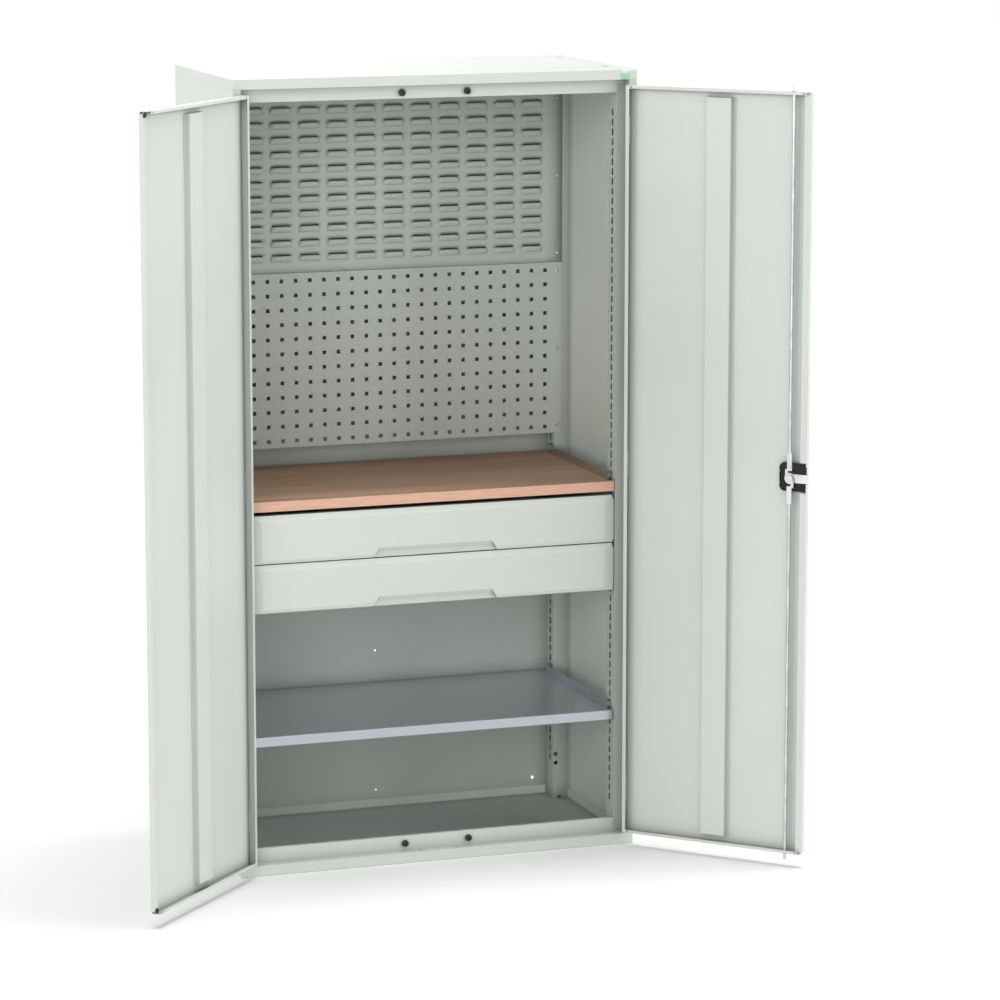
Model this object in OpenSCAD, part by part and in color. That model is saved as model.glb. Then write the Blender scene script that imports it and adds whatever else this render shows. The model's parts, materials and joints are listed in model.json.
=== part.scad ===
// Tool cabinet with two hinged doors, a louvre panel, a perforated panel, a worktop,
// two drawers and a shelf. Millimetres, +Z up, front towards -Y.
// The origin lies on the floor under the middle of the carcass.
// Both doors stand open; the drawers are shut and the locking rods are out.

/* [Carcass] */
// Outer width
cab_w = 1050; // [950:10:1200]
// Outer depth
cab_d = 550; // [500:10:650]
// Outer height
cab_h = 2000; // [1975:5:2050]
// Sheet thickness of the carcass
sheet = 1.5; // [1:0.1:1.8]
// Height of the top cap
cap_h = 25; // [20:1:30]
// Height of the plinth
plinth_h = 28; // [26:1:34]
// Width of the front return of each side wall
return_w = 20; // [18:0.5:22]
// Depth of the front frame behind the front face
recess = 29; // [28:0.5:34]
// Height of the top rail's face
rail_h = 24; // [22:1:30]
// Height of the slanted band above the top rail
band_h = 10; // [9:1:12]
// Height of the bottom lip
lip_h = 36; // [32:1:44]
// How far the rail and the lip turn back at their free edge
hem = 12; // [8:1:16]

/* [Uprights] */
// Distance from the outside of a side wall to the slotted face
upright_in = 43; // [41:0.5:46]
// Depth of the front upright
front_upright_d = 54; // [50:1:60]
// Depth of the rear upright
rear_upright_d = 59.5; // [54:0.5:66]
// Pitch of the slots
slot_pitch = 25; // [25:1:30]
// Height of the lowest slot's middle
slot_first = 114.5; // [112:0.5:116]
// Free height above the top slot
slot_margin = 60; // [40:5:80]
// Slot width
slot_w = 12; // [9:0.5:13]
// Slot height
slot_h = 17; // [14:1:18]
// Slot middle behind the front upright's face
front_slot_in = 30; // [28:1:32]
// Slot middle behind the rear upright's face
rear_slot_in = 24.5; // [22:0.5:28]
// Row of small holes behind the front upright's face
pilot_in = 10; // [8:1:12]

/* [Panels] */
// Distance of a panel's edge from the outside of the side wall
panel_side = 22; // [21:0.5:26]
// Distance of the upper panel's top below the cap
panel_drop = 59.5; // [56:0.5:64]
// Gap between the two panels
panel_gap = 1; // [0.5:0.5:2]
// Lower panel's underside above the worktop
panel_up = 54.5; // [50:0.5:58]
// Lowest row of holes above the panel's underside
perforation_in = 17; // [15:0.5:19]
// Pitch of holes and louvres
grid = 38; // [36:1:38]
// Side of a square hole
hole = 10; // [8:0.5:11]
// Length of a louvre
louvre_w = 60; // [50:1:64]
// Height of a louvre with its slot
louvre_h = 19; // [16:1:22]
// How far a louvre stands out
louvre_out = 6.5; // [5:0.5:8]

/* [Worktop and shelf] */
// Top of the worktop
worktop_z = 950; // [945:1:955]
// Worktop thickness
worktop_t = 26; // [24:1:30]
// Top of the shelf
shelf_z = 350; // [345:1:355]
// Shelf thickness
shelf_t = 24; // [20:1:28]
// How far a hanger rail stands above its board
hanger_up = 20; // [17:1:24]
// Depth of the worktop
worktop_d = 508; // [490:1:515]
// Depth of the shelf
shelf_d = 512; // [490:1:516]

/* [Drawers] */
// Pitch of the drawers
drawer_pitch = 125; // [112:1:135]
// Gap between the two drawer fronts
drawer_gap = 2.5; // [2:0.5:4]
// Gap between the worktop and the upper drawer front
drawer_drop = 9.5; // [8:0.5:14]
// Depth of a drawer front's pan
front_d = 20; // [18:1:24]
// How far the slanted borders fall back
border_in = 4; // [3:0.5:5]
// Height of the slanted border at the top
border_top = 16; // [12:1:20]
// Height of the slanted border at the bottom
border_bottom = 8.5; // [6:0.5:12]
// Width of the slanted border at the ends
border_end = 26; // [20:1:32]
// Depth of a drawer tray
tray_d = 462; // [440:1:468]
// Tray's rim below the top of its front
tray_room = 15.7; // [12:0.1:30]
// Width of the grip at its top
grip_w = 300; // [240:5:340]
// Height of the grip
grip_h = 25; // [22:1:28]

/* [Doors] */
// Sheet thickness of a door
skin = 1.2; // [1:0.1:1.4]
// Depth of a door at its hinges
door_t = 22; // [21.5:0.1:22.2]
// Depth of the left door's free edge
left_edge_t = 10.5; // [10:0.1:10.6]
// Depth of the right door's free edge
right_edge_t = 16; // [15.8:0.1:16.2]
// Gap between a door and the side wall's return
hinge_gap = 3; // [2.8:0.1:3.2]
// Gap where the two doors meet
meet_gap = 2.5; // [2:0.1:3]
// Door's lower edge above the plinth
door_gap_low = 7.6; // [6.6:0.2:8]
// Door's upper edge below the cap
door_gap_top = 12.6; // [11:0.1:13]
// How far the doors stand open
open_angle = 133.8; // [90:0.1:150]
// Width of the stiffening rib
rib_w = 64; // [56:1:72]
// Height of the stiffening rib
rib_t = 13; // [11:0.5:14]
// Rib's ends inside the door's ends
rib_inset = 22; // [18:1:30]

/* [Hinges] */
// Number of hinges on a door
hinge_count = 3; // [2:1:4]
// Length of a hinge
hinge_h = 65; // [50:1:80]
// Middle of the outer hinges inside the door's ends
hinge_inset = 114.5; // [90:0.5:140]
// Knuckle radius
knuckle_r = 3; // [2.8:0.1:3.1]
// Pin radius
pin_r = 1.5; // [1.2:0.1:1.7]
// Running clearance on a pin
fit = 0.05; // [0.03:0.01:0.08]

/* [Lock] */
// Height of the lock above the floor
lock_z = 999; // [980:1:1020]
// Distance of the rods from the door's hinge edge
rod_u = 454; // [450:0.5:456]
// Rod radius
rod_r = 4; // [3.5:0.1:4.2]
// Rods' depth in the door
rod_t = 15; // [14.8:0.1:15.2]
// Upper rod's tip above the door
rod_out_top = 18.3; // [16:0.1:20]
// Lower rod's tip below the door
rod_out_low = 17; // [15:0.1:19]
// Stroke of the rods
rod_stroke = 11; // [10.5:0.1:11.2]
// Length of a rod's flat end
rod_flat = 54; // [54:1:60]
// Length of the lock's tongue from the spindle
tongue_l = 51; // [50:0.5:52]
// Height of the tongue
tongue_h = 22; // [18:1:24]
// Length of the outside lever
lever_l = 100; // [80:1:120]

/* [Small parts] */
// Radius of a foot
foot_r = 17; // [14:1:18]
// Radius of the buffers on the frame
buffer_r = 8.5; // [7:0.5:9]
// Distance of the frame buffers from the middle
buffer_x = 85; // [70:1:120]
// Radius of the wall fixing holes
fixing_r = 4.5; // [4:0.5:5.5]
// Distance of the wall fixing holes from the middle
fixing_x = 444; // [420:1:455]
// Height of the lower wall fixing holes above the plinth
fixing_low = 23; // [20:1:40]
// Distance of the upper wall fixing holes below the cap
fixing_drop = 45; // [40:1:54]
// Height of the vent hole above the plinth
vent_low = 25; // [20:1:40]
// Height of the vent hole above the shelf
vent_up = 84; // [60:1:120]
// Front plug's distance from the front face
plug_front = 123; // [100:1:150]
// Rear plug's distance from the back face
plug_back = 89; // [70:1:120]
// Side of the blank plate on the cap
badge_w = 23; // [20:1:24]

/* [Hidden] */
$fn = 48;

// Colours
paint = "#d3dcd3";
paint_inside = "#c3cbc3";
zinc = "#b4b6bc";
beech = "#cf9f80";
black = "#2b2d2f";
green = "#a9d8b6";

// Carcass
half_w = cab_w / 2;
front_y = -cab_d / 2;
back_y = cab_d / 2;
inner_x = half_w - sheet;
inner_back = back_y - sheet;
plinth_top = plinth_h;
cap_z = cab_h - cap_h;
opening_x = half_w - return_w;
frame_y = front_y + recess;
web_x = half_w - upright_in;
base_t = 3;
floor_t = 2;
floor_z = base_t + floor_t;
base_w = 46;
rail_top = cap_z - band_h;
rail_z = rail_top - rail_h;
lip_z = plinth_top + lip_h;
band_out = 4;
step_out = 1.5;
band_y = frame_y - band_out;
step_y = frame_y - step_out;
upright_top = rail_top;
slot_count = 1 + floor((upright_top - slot_first - slot_margin) / slot_pitch);
over = 1;

// Uprights and panels
rear_upright_y = inner_back - rear_upright_d;
front_slot_y = frame_y + front_slot_in;
rear_slot_y = rear_upright_y + rear_slot_in;
pilot_r = 1.5;
panel_y = rear_upright_y - sheet;
panel_w = cab_w - 2 * panel_side;
panel_z = worktop_z + panel_up;
panel_h = (cap_z - panel_drop - panel_z - panel_gap) / 2;
upper_panel_z = panel_z + panel_h + panel_gap;
screw_side = 13;
screw_x = panel_w / 2 - screw_side;
screw_in = 23.5;
screw_r = 2;
screw_clear = 0.1;
screw_head_r = 4.5;
screw_l = 8;
columns = floor((panel_w / 2 - hole) / grid);
rows = floor((panel_h + 2) / grid);
perforation_z = panel_z + perforation_in;
louvre_rows = rows - 1;
louvre_z = upper_panel_z + grid;

// Boards and hangers
board_gap = 0.3;
hanger_t = 1.4;
hanger_x = web_x - 11;
board_x = web_x - 1.7;
board_in = hanger_x - board_gap;
board_ear = 20;
hanger_flange = 30;
hook_w = slot_w - 1.5;
hook_h = slot_h - 7;
hook_l = sheet + 4;

// Drawers
front_h = drawer_pitch - drawer_gap;
upper_z = worktop_z - worktop_t - drawer_drop - front_h;
lower_z = upper_z - drawer_pitch;
front_gap = 1.5;
front_x = web_x - front_gap;
drawer_sheet = 1.2;
tray_x = web_x - 14;
tray_y = frame_y - 1 + front_d;
tray_in = 11.8;
tray_h = front_h - tray_in - tray_room;
runner_h = 44;
runner_in = 25;
runner_gap = 0.3;
runner_l = tray_d + 25;
runner_y = tray_y + 2;
runner_reach = 10;

// Doors, in the door's own frame: u runs from the hinge edge, t from the outer face inwards
edge_x = opening_x - hinge_gap;
axis_x = edge_x + 1.6;
axis_y = front_y - 0.5;
door_low = plinth_top + door_gap_low;
door_top = cap_z - door_gap_top;
door_mid = (door_low + door_top) / 2;
left_w = edge_x;
right_w = edge_x - meet_gap;
hinge_lip = 9;
end_lip = 7.5;
left_flange = 16;
right_flange = 17;
edge_chamfer = 8;
lip_hole_r = 2.2;
rib_foot = 3;
knuckle_u = edge_x - axis_x;
knuckle_t = axis_y - front_y;
leaf_t = 1.2;
leaf_d = 24;
knuckle_gap = 0.4;
hinge_z = [for (i = [0 : hinge_count - 1])
    door_low + hinge_inset + i * (door_top - door_low - 2 * hinge_inset) / (hinge_count - 1)];

// Lock, measured from the spindle
housing_u = [-31, 43];
housing_z = [-33, 39];
housing_wall = 2;
housing_cut = 10;
housing_dent = 3;
housing_top = 10.8;
tongue_t0 = 11.3;
tongue_t = 1.4;
disc_t0 = tongue_t0 + tongue_t + 0.1;
disc_t = 1.7;
disc_r = 14;
disc_top = disc_t0 + disc_t;
crank = rod_stroke / sqrt(2);
crank_pin_r = 1.8;
crank_clear = 0.6;
arm_t = 1.5;
upper_arm_t0 = disc_top + 0.3;
lower_arm_t0 = upper_arm_t0 + arm_t + 0.3;
rotor_t0 = lower_arm_t0 + arm_t + 0.3;
rotor_t = 1.2;
rotor_r = 10;
stem_w = 13;
stem_from = rod_stroke + 8.5;
flat_end = rod_flat + 11;
spindle_r = 3.5;
spindle_clear = 0.3;
key_r = 7;
key_z = 28;
plate_t = 4;
plate_w = 40;
plate_z = [-30, 62];
lever_t = 8;
lever_w = 16;
hub_r = 12;
hub_t = 16;
keeper_r = rod_r + 1;
keeper_x = edge_x - rod_u;
keeper_y = front_y + rod_t;
guide_r = rod_r + 1;
guide_flange_r = rod_r + 1.8;
tongue_sweep = 62;
tongue_edge = right_w - 2 * skin - rod_u;
tongue_rise = sqrt(max(1, pow(tongue_l, 2) + pow(tongue_h / 2, 2) - pow(tongue_edge, 2))) + 2.6;

// Small parts
foot_x = half_w - 22;
foot_front = frame_y + front_upright_d / 2;
foot_back = inner_back - rear_upright_d / 2;
stud_r = 5;
stud_clear = 0.2;
nut_af = 16;
nut_h = 8;
buffer_t = recess - door_t - 0.5;
plug_r = 8;
plug_side = 40;
plug_x = half_w - plug_side;
plug_ys = [front_y + plug_front, back_y - plug_back];

// Helpers
module box(a, b) {
    translate(a) cube(b - a);
}

module along_x(x0, x1) {
    translate([x0, 0, 0]) rotate([90, 0, 90]) linear_extrude(x1 - x0) children();
}

module along_y(y0, y1) {
    translate([0, y1, 0]) rotate([90, 0, 0]) linear_extrude(y1 - y0) children();
}

module rod_y(r, y0, y1) {
    translate([0, y0, 0]) rotate([-90, 0, 0]) cylinder(r = r, h = y1 - y0);
}

module left_copy() {
    mirror([1, 0, 0]) children();
}

module both_sides() {
    children();
    left_copy() children();
}

// Carcass
module plinth() {
    color(paint) difference() {
        box([-half_w, front_y, 0], [half_w, back_y, plinth_top]);
        box([-inner_x, front_y + sheet, base_t], [inner_x, inner_back, plinth_top + over]);
        box([-half_w + base_w, front_y + base_w, -over], [half_w - base_w, back_y - base_w, base_t + over]);
        foot_places() translate([0, 0, -over]) cylinder(r = foot_r + stud_clear, h = plinth_top);
    }
}

module floor_panel() {
    color(paint_inside) difference() {
        box([-inner_x, frame_y + sheet, floor_z - floor_t], [inner_x, inner_back, floor_z]);
        foot_places() cylinder(r = stud_r + stud_clear, h = plinth_top);
    }
}

module side_wall() {
    difference() {
        union() {
            box([inner_x, front_y, plinth_top], [half_w, back_y, cap_z]);
            box([opening_x, front_y, plinth_top], [half_w, front_y + sheet, cap_z]);
            box([opening_x, front_y, plinth_top], [opening_x + sheet, frame_y, cap_z]);
        }
        for (z = hinge_z)
            box([opening_x - over, front_y - over, z - hinge_h / 2 - over],
                [axis_x + knuckle_r + 0.8, axis_y + knuckle_r + 0.8, z + hinge_h / 2 + over]);
    }
}

module back_wall() {
    color(paint_inside) difference() {
        box([-inner_x, inner_back, plinth_top], [inner_x, back_y, cap_z]);
        for (x = [-fixing_x, fixing_x], z = [plinth_top + fixing_low, cap_z - fixing_drop])
            translate([x, 0, z]) rod_y(fixing_r, inner_back - over, back_y + over);
        for (z = [plinth_top + vent_low, shelf_z + vent_up])
            translate([0, 0, z]) rod_y(3, inner_back - over, back_y + over);
    }
}

module top_cap() {
    color(paint) difference() {
        box([-half_w, front_y, cap_z], [half_w, back_y, cab_h]);
        box([-inner_x, front_y + sheet, cap_z - over], [inner_x, inner_back, cab_h - sheet]);
        for (y = plug_ys)
            translate([plug_x, y, cap_z]) cylinder(r = plug_r, h = cap_h + over);
    }
}

module top_rail() {
    color(paint) difference() {
        union() {
            box([-inner_x, front_y + sheet, cap_z], [inner_x, band_y, cap_z + sheet]);
            along_x(-opening_x, opening_x) polygon([
                [band_y, cap_z + sheet], [band_y, cap_z], [step_y, rail_top],
                [frame_y + sheet, rail_top], [frame_y + sheet, rail_top + sheet],
                [step_y + sheet, rail_top + sheet], [band_y + sheet, cap_z + sheet]]);
            along_x(-web_x, web_x) polygon([
                [frame_y, rail_top], [frame_y, rail_z], [frame_y + hem, rail_z],
                [frame_y + hem, rail_z + sheet], [frame_y + sheet, rail_z + sheet],
                [frame_y + sheet, rail_top]]);
        }
        keeper_holes(cap_z);
    }
}

module bottom_lip() {
    color(paint) difference() {
        union() {
            box([-inner_x, front_y + sheet, plinth_top - sheet], [inner_x, frame_y + sheet, plinth_top]);
            along_x(-web_x, web_x) polygon([
                [frame_y, plinth_top - sheet], [frame_y, lip_z], [frame_y + hem, lip_z],
                [frame_y + hem, lip_z - sheet], [frame_y + sheet, lip_z - sheet],
                [frame_y + sheet, plinth_top - sheet]]);
        }
        keeper_holes(plinth_top);
    }
}

module keeper_holes(z) {
    for (x = [-keeper_x, keeper_x])
        translate([x, keeper_y, z - 2 * sheet]) cylinder(r = keeper_r, h = 4 * sheet);
}

module slots(y) {
    for (i = [0 : slot_count - 1])
        box([web_x - over, y - slot_w / 2, slot_first + i * slot_pitch - slot_h / 2],
            [web_x + sheet + over, y + slot_w / 2, slot_first + i * slot_pitch + slot_h / 2]);
}

module front_upright() {
    difference() {
        union() {
            box([web_x, frame_y, plinth_top], [inner_x, frame_y + sheet, upright_top]);
            box([web_x, frame_y, plinth_top], [web_x + sheet, frame_y + front_upright_d, upright_top]);
            box([web_x, frame_y + front_upright_d - sheet, plinth_top],
                [inner_x, frame_y + front_upright_d, upright_top]);
        }
        slots(front_slot_y);
        for (i = [0 : slot_count - 2])
            translate([web_x - over, frame_y + pilot_in, slot_first + (i + 0.5) * slot_pitch])
                rotate([0, 90, 0]) cylinder(r = pilot_r, h = sheet + 2 * over);
    }
}

module rear_upright() {
    difference() {
        union() {
            box([web_x, rear_upright_y, floor_z], [inner_x, rear_upright_y + sheet, cap_z]);
            box([web_x, rear_upright_y, floor_z], [web_x + sheet, inner_back, cap_z]);
        }
        slots(rear_slot_y);
        screw_places() rod_y(screw_r + screw_clear, 0, back_y);
        for (z = [slot_first - 13, slot_first + 11])
            translate([web_x + 8, rear_upright_y, z])
                box([-hole / 2, -over, -hole / 2], [hole / 2, sheet + over, hole / 2]);
        translate([web_x + 14, 0, slot_first - 1]) rod_y(pilot_r, rear_upright_y - over, rear_upright_y + 2 * sheet);
        translate([web_x + 18, 0, floor_z]) rod_y(6, rear_upright_y - over, rear_upright_y + 2 * sheet);
    }
}

// Back panels
module screw_places() {
    for (base = [panel_z, upper_panel_z], z = [screw_in, panel_h / 2, panel_h - screw_in])
        translate([screw_x, 0, base + z]) children();
}

module perforated_panel() {
    color(paint_inside) difference() {
        box([-panel_w / 2, panel_y, panel_z], [panel_w / 2, rear_upright_y, panel_z + panel_h]);
        for (i = [-columns : columns], j = [0 : rows - 1])
            translate([i * grid, panel_y, perforation_z + j * grid])
                box([-hole / 2, -over, -hole / 2], [hole / 2, sheet + over, hole / 2]);
        both_sides() screw_places() rod_y(screw_r + screw_clear, 0, back_y);
    }
}

module louvre_places() {
    for (i = [0 : columns - 1], j = [0 : louvre_rows - 1])
        translate([(2 * i + 1 - columns) * grid, panel_y, louvre_z + j * grid]) children();
}

module louvre_window(z0, z1) {
    slant = louvre_w / 12;
    polygon([[-louvre_w / 2 + 1, z0], [louvre_w / 2 - 1, z0], [louvre_w / 2 - slant, z1], [-louvre_w / 2 + slant, z1]]);
}

module louvre_lip() {
    low = -louvre_h / 2;
    high = louvre_h / 4;
    intersection() {
        along_x(-louvre_w, louvre_w) polygon([
            [0, low], [-louvre_out, high - 3], [-louvre_out, high], [-louvre_out + sheet, high],
            [-louvre_out + sheet, high - 3], [0.5, low + 4], [0.5, low]]);
        along_y(-louvre_out - over, over) polygon([
            [-louvre_w / 2, low - over], [louvre_w / 2, low - over], [louvre_w / 2, high - 5],
            [louvre_w / 2 - 5, high + over], [-louvre_w / 2 + 5, high + over], [-louvre_w / 2, high - 5]]);
    }
}

module louvre_panel() {
    color(paint_inside) union() {
        difference() {
            box([-panel_w / 2, panel_y, upper_panel_z], [panel_w / 2, rear_upright_y, upper_panel_z + panel_h]);
            louvre_places() along_y(-over, sheet + over) louvre_window(0, louvre_h / 2);
            both_sides() screw_places() rod_y(screw_r + screw_clear, 0, back_y);
        }
        louvre_places() louvre_lip();
    }
}

module panel_screws() {
    color(zinc) both_sides() screw_places() {
        rod_y(screw_head_r, panel_y - 2, panel_y);
        rod_y(screw_r, panel_y - 2, panel_y + screw_l);
    }
}

// Worktop, shelf and their hanger rails
module worktop() {
    color(beech) board_form(worktop_z - worktop_t, worktop_z, worktop_d, 0);
}

// A board with ears at its front corners; `in` insets every side
module board_form(low, high, depth, in) {
    ear_y = frame_y + board_ear;
    translate([0, 0, low]) linear_extrude(high - low) polygon([
        [-board_x + in, frame_y + in], [board_x - in, frame_y + in], [board_x - in, ear_y - in],
        [board_in - in, ear_y - in], [board_in - in, frame_y + depth - in], [-board_in + in, frame_y + depth - in],
        [-board_in + in, ear_y - in], [-board_x + in, ear_y - in]]);
}

module shelf() {
    low = shelf_z - shelf_t;
    color(zinc) difference() {
        board_form(low, shelf_z, shelf_d, 0);
        board_form(low + sheet, shelf_z - sheet, shelf_d, sheet);
        box([-board_in + hem, frame_y + hem, low - over], [board_in - hem, frame_y + shelf_d - hem, low + 2 * sheet]);
    }
}

module hanger(top, thick) {
    low = top - thick;
    y0 = front_slot_y - 9;
    y1 = rear_slot_y + 7;
    slot_low = slot_first + ceil((top - slot_first) / slot_pitch) * slot_pitch - slot_h / 2;
    box([hanger_x, y0, low - hanger_t], [hanger_x + hanger_t, y1, top + hanger_up]);
    box([hanger_x - hanger_flange, y0, low - hanger_t], [hanger_x + hanger_t, y1, low]);
    for (y = [front_slot_y, rear_slot_y])
        box([hanger_x, y - hook_w / 2, slot_low], [web_x + hook_l, y + hook_w / 2, slot_low + hook_h]);
}

// Small carcass parts
module frame_buffers() {
    color(black) for (x = [-buffer_x, buffer_x], z = [rail_top - buffer_r - 1, door_low + buffer_r + 1])
        translate([x, 0, z]) difference() {
            rod_y(buffer_r, frame_y - buffer_t, frame_y);
            rod_y(2, frame_y - buffer_t - over, frame_y - buffer_t + 1.5);
        }
}

module badge_plate() {
    color(green) box([opening_x - badge_w, front_y - 1, cap_z + 0.5], [opening_x, front_y, cab_h - 0.5]);
}

module foot_places() {
    for (x = [-foot_x, foot_x], y = [foot_front, foot_back])
        translate([x, y, 0]) children();
}

module levelling_feet() {
    color(black) foot_places() union() {
        cylinder(r = foot_r, h = base_t);
        cylinder(r = stud_r, h = floor_z + nut_h + 4);
    }
}

module levelling_nuts() {
    color(zinc) foot_places() difference() {
        translate([0, 0, floor_z]) cylinder(r = nut_af / sqrt(3), h = nut_h, $fn = 6);
        cylinder(r = stud_r + fit, h = plinth_top);
    }
}

module top_plugs() {
    color(black) for (y = plug_ys)
        translate([plug_x, y, 0]) union() {
            translate([0, 0, cab_h - 5]) cylinder(r = plug_r - 0.2, h = 5);
            translate([0, 0, cab_h - sheet - 2]) cylinder(r = plug_r + 1.5, h = 2);
        }
}

// Hinges
module knuckle(z0, z1) {
    translate([axis_x, axis_y, z0]) difference() {
        cylinder(r = knuckle_r, h = z1 - z0);
        translate([0, 0, -over]) cylinder(r = pin_r + fit, h = z1 - z0 + 2 * over);
    }
}

module frame_leaf() {
    third = hinge_h / 3;
    for (z = hinge_z) {
        low = z - hinge_h / 2;
        union() {
            for (at = [low, low + 2 * third]) {
                knuckle(at, at + third);
                difference() {
                    box([opening_x - leaf_t, axis_y, at], [opening_x, axis_y + leaf_d, at + third]);
                    translate([axis_x, axis_y, at - over]) cylinder(r = pin_r + fit, h = third + 2 * over);
                }
            }
            box([opening_x - leaf_t, axis_y + knuckle_r + knuckle_gap, low],
                [opening_x, axis_y + leaf_d, low + hinge_h]);
        }
    }
}

module door_leaves() {
    third = hinge_h / 3;
    for (z = hinge_z) {
        low = z - third / 2 + knuckle_gap;
        high = z + third / 2 - knuckle_gap;
        union() {
            translate([knuckle_u, knuckle_t, low]) difference() {
                cylinder(r = knuckle_r, h = high - low);
                translate([0, 0, -over]) cylinder(r = pin_r + fit, h = hinge_h);
            }
            difference() {
                box([-leaf_t, knuckle_t, low], [0, leaf_d - 4, high]);
                translate([knuckle_u, knuckle_t, low - over]) cylinder(r = pin_r + fit, h = hinge_h);
            }
            box([-leaf_t, knuckle_t + knuckle_r + knuckle_gap, z - hinge_h / 2], [0, leaf_d - 4, z + hinge_h / 2]);
        }
    }
}

module hinge_pins() {
    color(zinc) both_sides() for (z = hinge_z)
        translate([axis_x, axis_y, z - hinge_h / 2]) cylinder(r = pin_r, h = hinge_h);
}

// Doors
module right_door() {
    translate([axis_x, axis_y, 0]) rotate([0, 0, open_angle]) translate([-axis_x, -axis_y, 0])
        translate([edge_x, front_y, 0]) mirror([1, 0, 0]) children();
}

module left_door() {
    left_copy() right_door() children();
}

module end_return(width, edge_t, corner) {
    slope = door_t - edge_t;
    linear_extrude(skin) polygon([[0, 0], [width - corner, 0], [width, corner], [width, edge_t],
        [width - corner, edge_t], [width - corner - slope, door_t], [0, door_t]]);
}

module door_pan(width, edge_t, flange, corner) {
    slope_u = width - corner - (door_t - edge_t);
    difference() {
        union() {
            box([0, 0, door_low], [width, skin, door_top]);
            box([0, 0, door_low], [skin, door_t, door_top]);
            box([0, door_t - skin, door_low], [hinge_lip, door_t, door_top]);
            box([width - skin, 0, door_low], [width, edge_t, door_top]);
            box([width - flange, edge_t - skin, door_low], [width, edge_t, door_top]);
            translate([0, 0, door_low]) end_return(width, edge_t, 0.01);
            translate([0, 0, door_top - skin]) end_return(width, edge_t, 0.01);
            for (z = [door_low, door_top - end_lip])
                box([0, door_t - skin, z], [slope_u, door_t, z + end_lip]);
        }
        for (z = hinge_z)
            box([-over, -over, z - hinge_h / 2 - over],
                [knuckle_u + knuckle_r + 0.6, knuckle_t + knuckle_r + 0.7, z + hinge_h / 2 + over]);
        for (u = [14, slope_u - 8], z = [door_low + 4, door_top - 4])
            translate([u, 0, z]) rod_y(lip_hole_r, door_t - skin - over, door_t + over);
        for (z = [door_low, door_top])
            translate([width, edge_t / 2, z]) rotate([90, 45, 0])
                cube([corner * sqrt(2), corner * sqrt(2), door_t], center = true);
    }
}

module rib() {
    low = door_low + rib_inset;
    high = door_top - rib_inset;
    mid = left_w / 2;
    foot = rib_w / 2 + rib_foot;
    color(paint) translate([mid, 0, low]) linear_extrude(high - low) polygon([
        [-foot - 6, skin], [-foot, skin], [-rib_w / 2, skin + rib_t - skin], [rib_w / 2, skin + rib_t - skin],
        [foot, skin], [foot + 6, skin], [foot + 6, 2 * skin], [foot + 0.5, 2 * skin],
        [rib_w / 2 + 0.7, skin + rib_t], [-rib_w / 2 - 0.7, skin + rib_t], [-foot - 0.5, 2 * skin],
        [-foot - 6, 2 * skin]]);
}

module left_door_panel() {
    color(paint) left_door() door_pan(left_w, left_edge_t, left_flange, edge_chamfer);
}

module left_door_buffers() {
    color(black) left_door() for (z = [door_low + 9, door_top - 9])
        translate([left_w - left_flange / 2, 0, z]) rod_y(6.5, left_edge_t, left_edge_t + 3.5);
}

module right_door_panel() {
    color(paint) right_door() difference() {
        union() {
            door_pan(right_w, right_edge_t, right_flange, 3);
            box([right_w - right_flange, right_edge_t - 10, door_low + edge_chamfer],
                [right_w - right_flange + skin, right_edge_t, door_top - edge_chamfer]);
        }
        // the lock's cut-outs: housing, tongue's turn, tongue's way out
        box([right_w - right_flange - over, skin + over, lock_z + housing_z[0] - 2],
            [right_w - skin, right_edge_t + over, lock_z + housing_z[1] + 2]);
        box([right_w - right_flange - over, skin + over, lock_z],
            [right_w - skin, right_edge_t - skin, lock_z + tongue_sweep]);
        box([right_w - 2 * skin, tongue_t0 - 0.6, lock_z - tongue_h / 2 - 2],
            [right_w + over, right_edge_t + over, lock_z + tongue_rise]);
        for (z = [0, key_z])
            translate([rod_u, 0, lock_z + z]) rod_y(z == 0 ? spindle_r + 0.6 : key_r + 0.6, -over, skin + over);
        for (z = [door_low, door_top])
            translate([rod_u, rod_t, z - 2 * skin]) cylinder(r = guide_r + 0.05, h = 4 * skin);
    }
}

// Lock
module at_lock() {
    right_door() translate([rod_u, 0, lock_z]) children();
}

// The housing's outline, cut at its corners and dented beside the spindle
module housing_form(in) {
    u0 = housing_u[0] + in;
    u1 = housing_u[1] - in;
    z0 = housing_z[0] + in;
    z1 = housing_z[1] - in;
    dent = u0 + housing_dent;
    polygon([[u0 + housing_cut, z0], [u1 - 3, z0], [u1, z0 + 3], [u1, z1 - 3], [u1 - 3, z1],
        [u0 + housing_cut, z1], [u0 + 3, z1 - 6], [u0, z1 - 16], [dent, z1 - 20], [u0 + 1, z1 - 24],
        [u0 + 1, z0 + 24], [dent, z0 + 20], [u0, z0 + 16], [u0 + 3, z0 + 6]]);
}

module lock_housing() {
    color(black) at_lock() difference() {
        along_y(skin, housing_top) housing_form(0);
        along_y(skin - over, housing_top - housing_wall) housing_form(housing_wall);
        rod_y(spindle_r + spindle_clear, 0, housing_top + over);
    }
}

module escutcheon() {
    color(black) at_lock() difference() {
        along_y(-plate_t, 0) polygon([
            [-plate_w / 2, plate_z[0] + 8], [-plate_w / 2 + 8, plate_z[0]], [plate_w / 2 - 8, plate_z[0]],
            [plate_w / 2, plate_z[0] + 8], [plate_w / 2, plate_z[1] - 8], [plate_w / 2 - 8, plate_z[1]],
            [-plate_w / 2 + 8, plate_z[1]], [-plate_w / 2, plate_z[1] - 8]]);
        rod_y(spindle_r + spindle_clear, -plate_t - over, over);
        translate([0, 0, key_z]) rod_y(key_r + fit, -plate_t - over, over);
    }
}

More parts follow.
